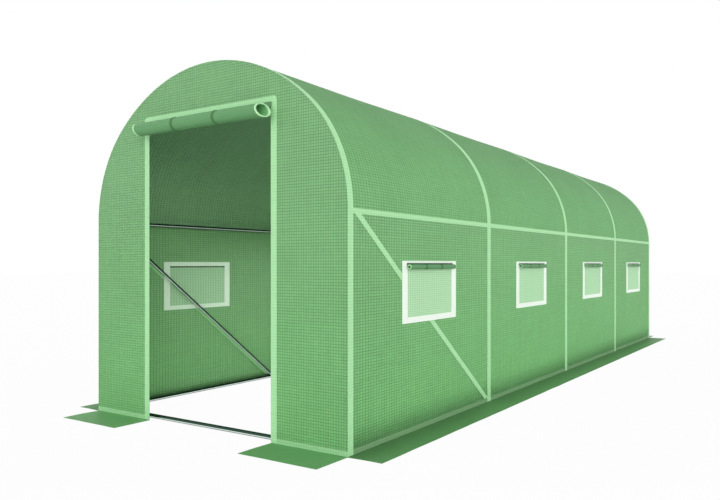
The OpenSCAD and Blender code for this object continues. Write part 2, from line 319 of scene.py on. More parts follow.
class Graph:
    """Short ways to wire the nodes of a material or of the world."""

    def __init__(self, owner):
        self.owner = owner
        owner.use_nodes = True
        self.tree = owner.node_tree
        self.tree.nodes.clear()

    def node(self, kind, inputs=None, **settings):
        """A new node, with its settings made and its inputs set or linked."""
        made = self.tree.nodes.new("ShaderNode" + kind)
        for setting, value in settings.items():
            setattr(made, setting, value)
        for key, value in (inputs or {}).items():
            socket = made.inputs[key]
            if isinstance(value, bpy.types.NodeSocket):
                self.tree.links.new(value, socket)
            elif socket.type == "VECTOR":
                socket.default_value = tuple(value)[:3]
            else:
                socket.default_value = value
        return made

    def math(self, operation, a, b=0.0, c=0.0, clamp=False):
        return self.node("Math", {0: a, 1: b, 2: c}, operation=operation, use_clamp=clamp).outputs[0]

    def vector(self, operation, a, b):
        return self.node("VectorMath", {0: a, 1: b}, operation=operation).outputs[0]

    def noise(self, vector, scale, detail=2.0):
        inputs = {"Vector": vector, "Scale": scale, "Detail": detail}
        return self.node("TexNoise", inputs).outputs[0]

    def cell_noise(self, vector):
        """A random number from 0 to 1 for each whole-numbered cell."""
        cell = self.vector("FLOOR", vector, (0, 0, 0))
        return self.node("TexWhiteNoise", {"Vector": cell}, noise_dimensions="2D").outputs[0]

    def split(self, vector):
        """A vector's three numbers."""
        return self.node("SeparateXYZ", {0: vector}).outputs

    def threads(self, cells, low, high):
        """0 inside the cells and 1 at their borders, changing from low to high off a cell's middle."""
        ways = []
        for part in self.split(self.vector("FRACTION", cells, (0, 0, 0)))[:2]:
            off_middle = self.math("ABSOLUTE", self.math("SUBTRACT", part, 0.5))
            ways.append(self.ramp(off_middle, low, high))
        return self.math("MAXIMUM", *ways)

    def ramp(self, value, low, high, to_low=0.0, to_high=1.0):
        inputs = {0: value, 1: low, 2: high, 3: to_low, 4: to_high}
        return self.node("MapRange", inputs, interpolation_type="SMOOTHSTEP").outputs[0]

    def scaled(self, colour, factor):
        return self.node("VectorMath", {0: colour, "Scale": factor}, operation="SCALE").outputs[0]

    def mix(self, share, a, b):
        return self.node("Mix", {0: share, 6: a, 7: b}, data_type="RGBA").outputs[2]

    def bump(self, height, distance, normal=None):
        inputs = {"Height": height, "Distance": distance}
        if normal is not None:
            inputs["Normal"] = normal
        return self.node("Bump", inputs).outputs[0]

    def surface(self, colour, roughness, normal, gloss=0.5, metallic=0.0):
        """The shader of a surface that no light goes through."""
        inputs = {
            "Base Color": colour,
            "Roughness": roughness,
            "Normal": normal,
            "Specular IOR Level": gloss,
            "Metallic": metallic,
        }
        return self.node("BsdfPrincipled", inputs)

    def thin(self, surface, through, light, normal):
        """The shader of a surface that also lets a share of the light through, in a colour."""
        lit = self.node("BsdfTranslucent", {"Color": light, "Normal": normal})
        return self.node("MixShader", {0: through, 1: surface.outputs[0], 2: lit.outputs[0]})

    def finish(self, shader, output="OutputMaterial"):
        self.node(output, {0: shader.outputs[0]})
        return self.owner


def new_graph(name):
    """The empty node graph of a new material."""
    return Graph(bpy.data.materials.new(name))


def weave(graph, cell_u, cell_v):
    """The scrim of a woven film: its tone, about 0.5 and from 0 to 1, its height, and its place on the
    flat cloth."""
    uv = graph.node("UVMap", uv_map=CLOTH_UV).outputs[0]
    cells = graph.vector("MULTIPLY", uv, (1 / cell_u, 1 / cell_v, 0))
    thread = graph.threads(cells, 0.28, 0.46)
    # Threads of uneven thickness: noise drawn out along each of the two directions.
    upright = graph.noise(graph.vector("MULTIPLY", cells, (1.0, 0.07, 0)), 1.0)
    level = graph.noise(graph.vector("MULTIPLY", cells, (0.07, 1.0, 0)), 1.0)
    uneven = graph.math("ADD", upright, level)
    patch = graph.cell_noise(cells)
    tone = graph.math("MULTIPLY_ADD", uneven, 0.28, 0.42)
    tone = graph.math("ADD", tone, graph.math("MULTIPLY", patch, 0.08))
    tone = graph.math("SUBTRACT", tone, graph.math("MULTIPLY", thread, 0.62), clamp=True)
    waves = {"Vector": uv, "Scale": 200.0, "Distortion": 0.0, "Detail": 0.0}
    yarn = graph.node("TexWave", waves, wave_type="BANDS").outputs[1]
    height = graph.math("MULTIPLY_ADD", yarn, 0.12, thread)
    return tone, height, uv


def shaded(graph, colour, tone, contrast):
    """A colour, darker where the tone is low and lighter where it's high."""
    return graph.scaled(colour, graph.math("MULTIPLY_ADD", tone, contrast, 1 - contrast / 2))


def film_material(
    name, colour, cell, shades, contrast=0.55, through=0.35, glow=None, gloss=0.2, painted_foot_shade=None, across=False
):
    """Woven film.

    cell is the size of a cell of its scrim, through the share of light that goes through, glow the colour
    of that light, without which none does, and gloss the strength of its reflections. shades is two
    heights and what the colour is multiplied by at each, or with across, the same for two distances from
    the tunnel's middle; where these differ from 1 they are painted light and shade. painted_foot_shade is
    how much darker the film is painted at the ground, as painted shade, and how high that reaches."""
    graph = new_graph(name)
    tone, height, _ = weave(graph, *cell)
    place = graph.node("TexCoord").outputs["Object"]
    mottled = graph.noise(place, 2.3, 3.0)
    x, _, z = graph.split(place)
    off = graph.math("ABSOLUTE", x) if across else z
    # The shades are painted light and shade, by height or by distance from the middle
    (low_off, low_shade), (high_off, high_shade) = shades
    share = graph.ramp(off, low_off, high_off)
    plain = graph.mix(share, tinted(colour, low_shade), tinted(colour, high_shade))
    # Painted shade: the film darker towards the ground
    if painted_foot_shade is not None:
        plain = graph.scaled(plain, graph.ramp(z, 0.02, painted_foot_shade[1], 1 - painted_foot_shade[0], 1.0))
    patchy = graph.scaled(plain, graph.ramp(mottled, 0.25, 0.75, 0.97, 1.03))
    woven = shaded(graph, patchy, tone, contrast)
    normal = graph.bump(height, 0.0006, graph.bump(mottled, 0.004))
    film = graph.surface(woven, graph.ramp(tone, 0.0, 1.0, 0.6, 0.48), normal, gloss)
    if glow is None:
        return graph.finish(film)
    light = shaded(graph, glow, tone, contrast)
    return graph.finish(graph.thin(film, through, light, normal))


def roll_material(name, colour, half_l, rim_colour, rim_w, bore_to, hang_from, hang_colour, cell):
    """Rolled film, smooth, with a rim along its cut ends at half_l either side of its middle.

    It is paler on its innermost turn, up to bore_to along its length, as painted light in its hollow,
    and has another colour from hang_from on, where it hangs from the wall."""
    graph = new_graph(name)
    tone, height, uv = weave(graph, *cell)
    along, run, _ = graph.split(uv)
    off_end = graph.math("SUBTRACT", half_l, graph.math("ABSOLUTE", along))
    rim = graph.ramp(off_end, rim_w * 0.8, rim_w * 1.2, 1.0, 0.0)
    # From hang_from on another colour; on the window covers it is a dark painted shade
    hangs = graph.ramp(run, hang_from, hang_from + 0.004)
    # Painted light: the innermost turn paler, in the roll's hollow
    wound = graph.mix(graph.ramp(run, bore_to - 0.004, bore_to), toned(colour, 1.7), colour)
    plain = graph.mix(hangs, graph.mix(rim, wound, rim_colour), hang_colour)
    woven = shaded(graph, plain, tone, 0.12)
    normal = graph.bump(height, 0.0001, graph.bump(graph.noise(uv, 14.0), 0.003))
    roughness = graph.ramp(graph.noise(uv, 40.0), 0.3, 0.7, 0.42, 0.55)
    return graph.finish(graph.surface(woven, roughness, normal, 0.3))


def tape_material(name, colour, contrast=0.2, through=0.12):
    """Welded tape: smoother and paler than the film, with the weave faintly showing."""
    graph = new_graph(name)
    tone, height, uv = weave(graph, *END_CELL)
    woven = shaded(graph, colour, tone, contrast)
    normal = graph.bump(height, 0.0002)
    roughness = graph.ramp(graph.noise(uv, 60.0), 0.3, 0.7, 0.35, 0.5)
    welded = graph.surface(woven, roughness, normal, 0.3)
    return graph.finish(graph.thin(welded, through, woven, normal))


def net_material(name, colour, hole_colour, through=0.3, dark_from=None):
    """Fine insect mesh: pale threads, and broader lines where its threads fall in and out of step. Above
    the height dark_from it's darker, a painted shadow of the rolled cover over its top edge."""
    graph = new_graph(name)
    uv = graph.node("UVMap", uv_map=CLOTH_UV).outputs[0]
    fine_cells = graph.vector("DIVIDE", uv, (0.0035, 0.0035, 1))
    coarse_cells = graph.vector("DIVIDE", uv, (0.023, 0.0125, 1))
    thread, coarse = (graph.threads(cells, 0.22, 0.42) for cells in (fine_cells, coarse_cells))
    tone = graph.math("MULTIPLY", thread, 0.35)
    tone = graph.math("ADD", tone, graph.math("MULTIPLY", coarse, 0.5))
    woven = graph.mix(tone, colour, hole_colour)
    if dark_from is not None:
        height = graph.split(graph.node("TexCoord").outputs["Object"])[2]
        # A painted shadow of the rolled cover along the top of the net
        painted_roll_shadow = graph.ramp(height, dark_from - 0.002, dark_from + 0.002)
        woven = graph.mix(painted_roll_shadow, woven, toned(hole_colour, 0.3))
    normal = graph.bump(thread, 0.0004)
    net = graph.surface(woven, graph.ramp(thread, 0, 1, 0.8, 0.6), normal)
    return graph.finish(graph.thin(net, through, woven, normal))


def webbing_material(name, colour, pitch=0.0025):
    """Flat webbing: ribs across the strap."""
    graph = new_graph(name)
    place = graph.node("TexCoord").outputs["Object"]
    waves = {"Vector": place, "Scale": 1 / pitch / 6.28, "Distortion": 0.5}
    ribs = graph.node("TexWave", waves).outputs[1]
    tone = graph.math("MULTIPLY", ribs, graph.noise(place, 120.0))
    woven = graph.mix(tone, toned(colour, 0.75), toned(colour, 1.3))
    roughness = graph.ramp(tone, 0, 1, 0.8, 0.6)
    return graph.finish(graph.surface(woven, roughness, graph.bump(ribs, 0.0004)))


def steel_material(name, dark_from, line_at, metallic=0.9):
    """Galvanised steel with soft patches of its crystals and a few dull marks, and a painted reflection.

    How far it faces up goes from -1, down, to 1, up: it is dark from dark_from on, a painted reflection of
    the dark cover, pale below that, a painted reflection of the white ground, and has a dark line of
    painted reflection at line_at."""
    graph = new_graph(name)
    coords = graph.node("TexCoord").outputs
    place = coords["Object"]
    crystals = graph.node("TexVoronoi", {"Vector": place, "Scale": 110.0, "Randomness": 1.0})
    spangle = graph.node("SeparateColor", {0: crystals.outputs["Color"]}).outputs[0]
    dull = graph.ramp(graph.noise(place, 9.0, 5.0), 0.45, 0.7)
    bright = graph.mix(spangle, toned(STEEL_COLOUR, 0.94), toned(STEEL_COLOUR, 1.05))
    worn = graph.mix(graph.math("MULTIPLY", dull, 0.3), bright, toned(STEEL_COLOUR, 0.75))
    # The dark upper side, the pale underside and the dark line are a painted reflection
    facing_up = graph.split(coords["Normal"])[2]
    top = graph.ramp(facing_up, dark_from - 0.09, dark_from + 0.09)
    off_line = graph.math("ABSOLUTE", graph.math("SUBTRACT", facing_up, line_at))
    line = graph.ramp(off_line, 0.1, 0.24, 0.75, 0.0)
    dark = graph.math("MAXIMUM", top, line)
    shade = graph.mix(dark, worn, STEEL_REFLECTION_DARK_COLOUR)
    roughness = graph.ramp(graph.math("ADD", spangle, dull), 0.0, 2.0, 0.12, 0.26)
    return graph.finish(graph.surface(shade, roughness, graph.bump(spangle, 0.0001), metallic=metallic))


# Colours, as they look in plain light, but for those marked below as painted light or shade.
FILM_COLOUR = srgb(147, 202, 145)
# Painted shade: the roof's film is the walls' film, given a darker colour
ROOF_SHADED_COLOUR = srgb(128, 182, 127)
FLAP_COLOUR = srgb(116, 179, 114)
# Painted shade: the side flaps' film is darker than the front flaps'
SIDE_FLAP_SHADED_COLOUR = srgb(108, 164, 106)
TAPE_COLOUR = srgb(180, 238, 178)
HEM_COLOUR = srgb(164, 220, 162)
# Painted shade: the hem tape on the long sides is darker than on the ends
SIDE_HEM_SHADED_COLOUR = srgb(130, 174, 126)
FRAME_COLOUR = srgb(246, 255, 245)
NET_COLOUR = srgb(226, 255, 224)
NET_HOLE_COLOUR = srgb(158, 226, 158)
# Painted shade: the nets' and frames' inner sides are darker copies of their outer sides
NET_INNER_SHADED_COLOUR = srgb(214, 248, 212)
NET_INNER_HOLE_SHADED_COLOUR = srgb(156, 200, 156)
FRAME_INNER_SHADED_COLOUR = srgb(238, 255, 236)
DOOR_FILM_COLOUR = srgb(98, 154, 100)
DOOR_HANG_COLOUR = srgb(84, 136, 86)
COVER_FILM_COLOUR = srgb(88, 146, 94)
# Painted shade: the dark line along the top of each window's rolled cover
COVER_TOP_SHADE_COLOUR = srgb(50, 96, 58)
RIM_COLOUR = srgb(200, 248, 198)
TIE_COLOUR = srgb(76, 130, 78)
COVER_TIE_COLOUR = srgb(54, 100, 60)
STEEL_COLOUR = srgb(222, 232, 228)
STEEL_REFLECTION_DARK_COLOUR = srgb(46, 75, 61)
GLOW_COLOUR = srgb(178, 232, 174)
ROOF_GLOW_COLOUR = srgb(176, 204, 174)
NET_ROLL_SHADOW_FROM = 0.905  # the height from which a net's inner side has the roll's painted shadow

# How the film's colour changes with height, or on the side flaps with distance from the middle, as
# film_material takes it: all but the plain one are painted light and shade.
# Painted shade: the walls darker and greener towards the ground
WALL_PAINTED_SHADE = ((0.0, (0.86, 0.98, 0.84)), (1.6, (1.0, 1.0, 1.0)))
# Painted light and shade: the roof lighter at the eaves and darker towards the ridge
ROOF_PAINTED_LIGHT_AND_SHADE = ((1.2, (1.09, 1.15, 1.09)), (2.0, (0.95, 0.99, 0.93)))
# Painted shade on the inner side of the walls: darker, and darker green up high
WALL_INNER_PAINTED_SHADE = ((0.0, (0.92, 0.86, 0.90)), (1.2, (0.98, 0.72, 0.94)))
# Painted light and shade on the inner side of the roof: lighter near the eaves, less green at the ridge
ROOF_INNER_PAINTED_LIGHT_AND_SHADE = ((1.25, (1.5, 1.18, 1.47)), (1.9, (1.1, 0.89, 1.15)))
# Painted shade on the side flaps: darkest at the wall, lighter further out
FLAP_PAINTED_SHADE = ((1.0, (0.65, 0.69, 0.62)), (1.2, (0.93, 0.94, 0.91)))
PLAIN_SHADES = ((0.0, (1.0, 1.0, 1.0)), (1.0, (1.0, 1.0, 1.0)))

film_end = film_material("film_end", FILM_COLOUR, END_CELL, WALL_PAINTED_SHADE, glow=GLOW_COLOUR)
# The long walls' film is painted darker at the foot, as painted shade
film_side = film_material(
    "film_side", FILM_COLOUR, LONG_CELL, WALL_PAINTED_SHADE, glow=GLOW_COLOUR, painted_foot_shade=(0.48, 0.17)
)
film_roof = film_material(
    "film_roof", ROOF_SHADED_COLOUR, LONG_CELL, ROOF_PAINTED_LIGHT_AND_SHADE, through=0.2, glow=ROOF_GLOW_COLOUR, gloss=0.03
)
# The inner sides are copies of the same films, with painted light and shade of their own
film_end_inner = film_material("film_end_inner", FILM_COLOUR, END_CELL, WALL_INNER_PAINTED_SHADE, glow=GLOW_COLOUR)
# Its inner side is also painted darker just above the ground, as painted shade
film_side_inner = film_material(
    "film_side_inner", FILM_COLOUR, LONG_CELL, WALL_INNER_PAINTED_SHADE, glow=GLOW_COLOUR, painted_foot_shade=(0.6, 0.07)
)
film_roof_inner = film_material(
    "film_roof_inner", ROOF_SHADED_COLOUR, LONG_CELL, ROOF_INNER_PAINTED_LIGHT_AND_SHADE, through=0.2, glow=ROOF_GLOW_COLOUR,
    gloss=0.03,
)
film_flap = film_material("film_flap", FLAP_COLOUR, END_CELL, PLAIN_SHADES, contrast=0.15)
film_flap_side_shaded = film_material(
    "film_flap_side_shaded", SIDE_FLAP_SHADED_COLOUR, LONG_CELL, FLAP_PAINTED_SHADE, contrast=0.15, across=True
)
tape = tape_material("tape", TAPE_COLOUR)
hem_tape = tape_material("hem_tape", HEM_COLOUR)
side_hem_tape_shaded = tape_material("side_hem_tape_shaded", SIDE_HEM_SHADED_COLOUR)
frame_tape = tape_material("frame_tape", FRAME_COLOUR, contrast=0.04, through=0.04)
net_mesh = net_material("net_mesh", NET_COLOUR, NET_HOLE_COLOUR, through=0.2)
# The inner sides of nets and frames have their own darker colours, as painted shade
net_mesh_inner = net_material(
    "net_mesh_inner", NET_INNER_SHADED_COLOUR, NET_INNER_HOLE_SHADED_COLOUR, through=0.2, dark_from=NET_ROLL_SHADOW_FROM
)
frame_tape_inner = tape_material("frame_tape_inner", FRAME_INNER_SHADED_COLOUR, contrast=0.04, through=0.04)
tie_webbing = webbing_material("tie_webbing", TIE_COLOUR)
cover_tie = webbing_material("cover_tie", COVER_TIE_COLOUR)
# Both steels have a painted reflection: dark above, of the dark cover, and pale below, of the white ground
low_steel = steel_material("low_steel", 0.11, -0.42)
high_steel = steel_material("high_steel", -0.5, -0.95, metallic=0.6)


# ---- Steel frame: the CAD tubes keep their shape ----


def is_tube(node):
    """Whether a CAD node is a steel tube of the frame."""
    return "tapes" not in node and any(word in node for word in ("rail", "brace_", "hoop_"))


def finish_tube(node):
    """Gives a tube the material for its height and its painted reflection: the ground rails have the
    white ground to mirror.
    """
    tube = frame["nodes"][node]
    tube.data.materials.clear()
    tube.data.materials.append(low_steel if "ground_rail" in node else high_steel)


for node in filter(is_tube, frame["nodes"]):
    finish_tube(node)


# ---- Film cover ----


def window_part(node):
    """Half a window part's length, and the heights of its foot and top."""
    low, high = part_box(node)
    return high[1] - BAY_Y[-1], (low[2], high[2])


NET_HALF, NET_Z = window_part("window_nets_right")
FRAME_HALF, FRAME_Z = window_part("window_frames_right")
FRAME_LAP = 0.003  # how far the window frames lap the film round their holes
HOLE_HALF = FRAME_HALF - FRAME_LAP
HOLE_Z = (FRAME_Z[0] + FRAME_LAP, FRAME_Z[1] - FRAME_LAP)
INNER_Y = (FRONT_Y + FILM_T, REAR_Y - FILM_T)  # the roof and sides reach the inner side of the end walls
AROUND_STEP = 0.03  # between the mesh lines of the roof and sides, round the cover
LENGTH_STEP = 0.06  # and along it
END_STEP = 0.06  # between the points of an end wall
ARCH_STEP = 0.04  # between the points of its arch


def window_holes():
    """The holes for a side's windows, as grid_net takes them."""
    top, foot = to_along(HOLE_Z[1]), to_along(HOLE_Z[0])
    return [(y - HOLE_HALF, top, y + HOLE_HALF, foot) for y in BAY_Y]


def make_roof():
    """The arched roof, as one sheet."""
    net = grid_net(lines_between([*INNER_Y, *HOOP_Y], LENGTH_STEP), lines_between(ROOF_MARKS, AROUND_STEP))
    roof = sheet_piece("cover_roof", net, on_cover, film_roof, -FILM_T, FILM_T, (-1, 0, 0), film_roof_inner)
    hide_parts("roof_shoulder_left", "roof_crown_left", "roof_crown_right", "roof_shoulder_right")


def make_side(side, word):
    """A side wall with its four window holes."""
    holes = window_holes()
    edges = [u for hole in holes for u in (hole[0], hole[2])]
    net = grid_net(
        lines_between([*INNER_Y, *HOOP_Y, *edges], LENGTH_STEP),
        lines_between([TO_EAVE, to_along(HOLE_Z[1]), to_along(HOLE_Z[0]), TO_GROUND], AROUND_STEP),
        holes,
    )
    name = f"cover_side_{word}"
    put = mirrored(on_cover, side)
    wall = sheet_piece(name, net, put, film_side, -FILM_T, FILM_T, (side, 0, 0), film_side_inner)
    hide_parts(f"side_wall_{word}")


def end_outline():
    """The outline of an end of the tunnel, from the foot on the left over the ridge."""
    arch = [section(along)[:2] for along in lines_between(ROOF_MARKS, ARCH_STEP)]
    return [(-HALF_W, 0.0)] + arch + [(HALF_W, 0.0)]


def make_end(name, net, place, out, hoop, *nodes):
    """An end wall over a hoop, in place of CAD nodes."""
    wall = sheet_piece(name, net, place, film_end, -FILM_T, FILM_T, out, film_end_inner)
    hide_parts(*nodes)


def make_front():
    """The front wall round its doorway, as one sheet."""
    doorway = [(DOOR_X, 0.0), (DOOR_X, DOOR_Z), (-DOOR_X, DOOR_Z), (-DOOR_X, 0.0)]
    net = outline_net(end_outline() + doorway, END_STEP)
    nodes = ("front_wall_left", "front_wall_right", "front_gable")
    make_end("cover_front", net, on_front, (0, -1, 0), HOOP_NAMES[0], *nodes)


def make_rear():
    """The closed rear wall."""
    net = outline_net(end_outline(), END_STEP)
    make_end("cover_rear", net, on_rear, (0, 1, 0), HOOP_NAMES[-1], "rear_wall")


make_roof()
make_side(1, "right")
make_side(-1, "left")
make_front()
make_rear()


# ---- Ground flaps ----

FLAP_WAVE = 0.0035  # height of the waves in the flaps, at their outer edge
FLAP_HELD = 0.12  # distance from the wall over which the waves rise to that
FLAP_STEP = 0.03  # between the mesh lines of a flap


def make_flap(word):
    """A flap that lies on the ground, flat at the wall and with low waves further out."""
    node = f"ground_flap_{word}"
    low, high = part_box(node)
    at_side = word in ("left", "right")

    def put(u, v, lift):
        off_wall = abs(u) - HALF_W if at_side else abs(v) - REAR_Y
        loose = min(1.0, max(0.0, off_wall / FLAP_HELD))
        wave = 0.5 + 0.5 * noise.noise(Vector((u * 5.0, v * 5.0, 7.0)))
        return Vector((u, v, lift + FLAP_WAVE * loose * wave))

    net = grid_net(spaced(low[0], high[0], FLAP_STEP), spaced(low[1], high[1], FLAP_STEP))
    # The side flaps have painted shade
    film = film_flap_side_shaded if at_side else film_flap
    flap = sheet_piece(node.replace("ground_", ""), net, put, film, 0.0, FILM_T, (0, 0, 1))
    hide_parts(node)


for word in ("left", "right", "front_left", "front_right", "rear"):
    make_flap(word)


# ---- Reinforcing tapes ----

ALONG_FOOT = TO_GROUND - TAPE_FOOT_Z
HOOP_TAPE_STEPS = (0.0125, 0.02)  # between the mesh lines of a hoop's tape: across it, along it
BAND_STEPS = (0.05, 0.009)  # and of the level tapes: along them, across them
BRACE_STEP = 0.03  # between the points of a brace's tape
BRACE_PAST = 0.1  # how far a brace's tape runs on past the brace's ends, before it is cut
BRACE_TAPE = (0.0, 0.033)  # how far a brace's outer tape lies below the brace's middle, and its width
BRACE_TAPE_INNER = (0.0125, 0.023)  # and its inner tape, which paints the outer tape seen through the film


def make_tape(name, node, nets, place, material, out, lift=TAPE_LIFT):
    """A tape in one or more stretches, in place of a CAD node."""
    piece = strips_piece(name, nets, place, material, lift, TAPE_T, out)
    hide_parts(node)


def hoop_tape_y(i):
    """The stretch of the cover's length that the tape over hoop i covers."""
    return max(HOOP_Y[i] - TAPE_W / 2, FRONT_Y), min(HOOP_Y[i] + TAPE_W / 2, REAR_Y)


def between_hoop_tapes():
    """The stretches of the cover's length between the hoops' tapes."""
    return [(hoop_tape_y(i)[1], hoop_tape_y(i + 1)[0]) for i in range(BAYS)]


def make_hoop_tape(i):
    """The tape over hoop i, from the ground on one side to the ground on the other."""
    across_step, around_step = HOOP_TAPE_STEPS
    marks = [-ALONG_FOOT, *ROOF_MARKS, ALONG_FOOT]
    net = grid_net(spaced(*hoop_tape_y(i), across_step), lines_between(marks, around_step))
    make_tape(f"hoop_tape_{i + 1}", "hoop_tapes", [net], on_cover, tape, (-1, 0, 0))


def level_band(start, end, edge, other_edge):
    """The flat net of a level tape."""
    long_step, across_step = BAND_STEPS
    return grid_net(spaced(start, end, long_step), spaced(edge, other_edge, across_step))


def make_side_bands(side, word):
    """The tapes along an eave and along a side's foot, in stretches between the hoop tapes."""
    bands = [
        ("eave_tape", tape, to_along(EAVE_TAPE_Z[1]), to_along(EAVE_TAPE_Z[0])),
        # The long sides' hem tape has a darker painted shade
        ("hem_tape", side_hem_tape_shaded, to_along(HEM_TOP_Z), to_along(TAPE_FOOT_Z)),
    ]
    put = mirrored(on_cover, side)
    for name, cloth, top, foot in bands:
        nets = [level_band(low, high, top, foot) for low, high in between_hoop_tapes()]
        make_tape(f"{name}_{word}", f"{name}s", nets, put, cloth, (side, 0, 0))


def make_end_hems():
    """The tapes along the foot of the front wall, beside the doorway, and of the rear wall."""
    beside_door = ((-HALF_W, -TRIM_X), (TRIM_X, HALF_W))
    nets = [level_band(low, high, TAPE_FOOT_Z, HEM_TOP_Z) for low, high in beside_door]
    make_tape("hem_tape_front", "hem_tapes", nets, on_front, hem_tape, (0, -1, 0))
    nets = [level_band(-HALF_W, HALF_W, TAPE_FOOT_Z, HEM_TOP_Z)]
    make_tape("hem_tape_rear", "hem_tapes", nets, on_rear, hem_tape, (0, 1, 0))


def brace_strip(lower, width):
    """The outline of a tape along a brace, in (y, along), lower than the brace by a distance."""
    low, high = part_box("brace_right")
    length, height = high[1] - low[1], high[2] - low[2]
    radius = (high[0] - low[0]) / 2
    inset = Vector((height, length)).normalized() * radius  # from the box's corners to the brace's ends
    top = Vector((low[1] + inset[0], to_along(high[2] - inset[1])))
    foot = Vector((high[1] - inset[0], to_along(low[2] + inset[1])))
    run = (foot - top).normalized()
    half = Vector((-run[1], run[0])) * width / 2
    shift = half.normalized() * lower
    top, foot = top - run * BRACE_PAST + shift, foot + run * BRACE_PAST + shift
    return [tuple(top + half), tuple(foot + half), tuple(foot - half), tuple(top - half)]


def beside_window(strip, window_y, window_z):
    """The nets of what's left of a brace's tape before and below the first window."""
    start, end = between_hoop_tapes()[0]
    strip = clipped(clipped(strip, -1, 0, -start), 1, 0, end)
    strip = clipped(clipped(strip, 0, -1, -to_along(EAVE_TAPE_Z[0])), 0, 1, to_along(HEM_TOP_Z))
    before = clipped(strip, 1, 0, window_y)
    below = clipped(strip, 0, -1, -to_along(window_z))
    return [outline_net(before, BRACE_STEP), outline_net(below, BRACE_STEP)]


def make_brace_tapes(side, word):
    """The tapes along a brace: a welded one outside, and one inside, whose pale colour is painted light:
    the outer tape as it shows through the film.
    """
    put = mirrored(on_cover, side)
    nets = beside_window(brace_strip(*BRACE_TAPE), BAY_Y[0] - FRAME_HALF, FRAME_Z[0])
    make_tape(f"brace_tape_{word}", "brace_tapes", nets, put, tape, (side, 0, 0))
    # The inner tape is painted light: the outer tape as it shows through the film, set lower
    nets = beside_window(brace_strip(*BRACE_TAPE_INNER), BAY_Y[0] - HOLE_HALF, HOLE_Z[0])
    lift = -FILM_T - TAPE_LIFT - TAPE_T
    make_tape(f"brace_tape_inner_{word}", "brace_tapes", nets, put, tape, (side, 0, 0), lift)


for i in range(HOOPS):
    make_hoop_tape(i)
for side, word in SIDES:
    make_side_bands(side, word)
    make_brace_tapes(side, word)
make_end_hems()


# ---- Doorway ----

TRIM_CUT = 0.014  # how far the trim's upper corners are cut off
TRIM_STEP = 0.05  # between the points of the trim


def make_door_trim():
    """The pale tape beside and over the doorway."""
    outline = [
        (-TRIM_X, TAPE_FOOT_Z), (-TRIM_X, TRIM_Z - TRIM_CUT), (-TRIM_X + TRIM_CUT, TRIM_Z),
        (TRIM_X - TRIM_CUT, TRIM_Z), (TRIM_X, TRIM_Z - TRIM_CUT), (TRIM_X, TAPE_FOOT_Z),
        (DOOR_X, TAPE_FOOT_Z), (DOOR_X, DOOR_Z), (-DOOR_X, DOOR_Z), (-DOOR_X, TAPE_FOOT_Z),
    ]
    nets = [outline_net(outline, TRIM_STEP)]
    make_tape("door_trim_tape", "door_trim", nets, on_front, tape, (0, -1, 0))


class Roll:
    """Film wound round itself, whose end leaves it as a straight strip.

    The film is film_l long, strip is the length of the straight end, and slant, in radians, is how far
    that end leans from upright, towards the wall."""

    def __init__(self, inner_r, outer_r, film_l, strip, slant=0.0):
        self.inner_r = inner_r
        self.outer_r = outer_r
        self.wound = film_l - strip
        self.turn = self.wound / ((inner_r + outer_r) / 2)
        self.growth = (outer_r - inner_r) / self.turn
        self.film_l = film_l
        self.slant = slant

    def at(self, run):
        """The place a distance along the film from its inner end, and the way out: (a, b, na, nb).
        a is towards the wall and b is up, from the roll's middle."""
        root, angle, past = self.outer_r, -self.slant, run - self.wound
        if past < 0:
            root = math.sqrt(self.inner_r**2 + 2 * self.growth * run)
            angle += (root - self.inner_r) / self.growth - self.turn
            past = 0.0
        na, nb = math.cos(angle), math.sin(angle)
        return root * na - past * nb, root * nb + past * na, na, nb

    def runs(self, per_turn):
        """Distances along the film at even angles, and to its upper end."""
        steps = math.ceil(self.turn / (2 * math.pi) * per_turn)
        angles = [self.turn * i / steps for i in range(steps + 1)]
        wound = [self.inner_r * a + self.growth * a * a / 2 for a in angles]
        return wound + [self.film_l]


END_CUT = 0.05  # length of a roll's end over which its cut comes to lean
STRAIGHT = ((0.0, 0.0, 0.0), (0.0, 0.0, 0.0))
PINCH_W = 0.03  # how far along the roll a tie's pinch reaches
PINCH = 0.035  # the share by which the roll is thinner there
WOBBLE = 0.012  # the share by which its thickness is uneven
ROLL_STEP = 0.025  # between its mesh lines, along it


def make_roll(name, roll, half_l, ties, place, material, thick, per_turn, out, end_w=0.012, cuts=STRAIGHT):
    """The wound film as a closed sheet, pinched under its ties and slack between them.

    cuts tells how its low and its high end are cut: each moves along the roll by the first number for
    each metre towards the wall, by the second for each metre up, and by the third all over."""

    def put(s, run, lift):
        a, b, na, nb = roll.at(run)
        pinch = sum(math.exp(-(((s - tie) / PINCH_W) ** 2)) for tie in ties)
        wobble = noise.noise(Vector((s * 9.0, math.atan2(b, a), 2.0)))
        held = 1.0 if run <= roll.wound else 0.0
        size = 1 - held * (PINCH * pinch - WOBBLE * wobble)
        cut = held * max(0.0, 1 - (half_l - abs(s)) / END_CUT)
        lean_in, lean_up, longer = cuts[1] if s > 0 else cuts[0]
        slide = cut * (lean_in * a + lean_up * b + longer)
        return place(s + slide, a * size + na * lift, b * size + nb * lift)

    marks = [-half_l, -half_l + end_w, half_l - end_w, half_l, *ties]
    net = grid_net(lines_between(marks, ROLL_STEP), roll.runs(per_turn))
    return sheet_piece(name, net, put, material, -thick / 2, thick, out)


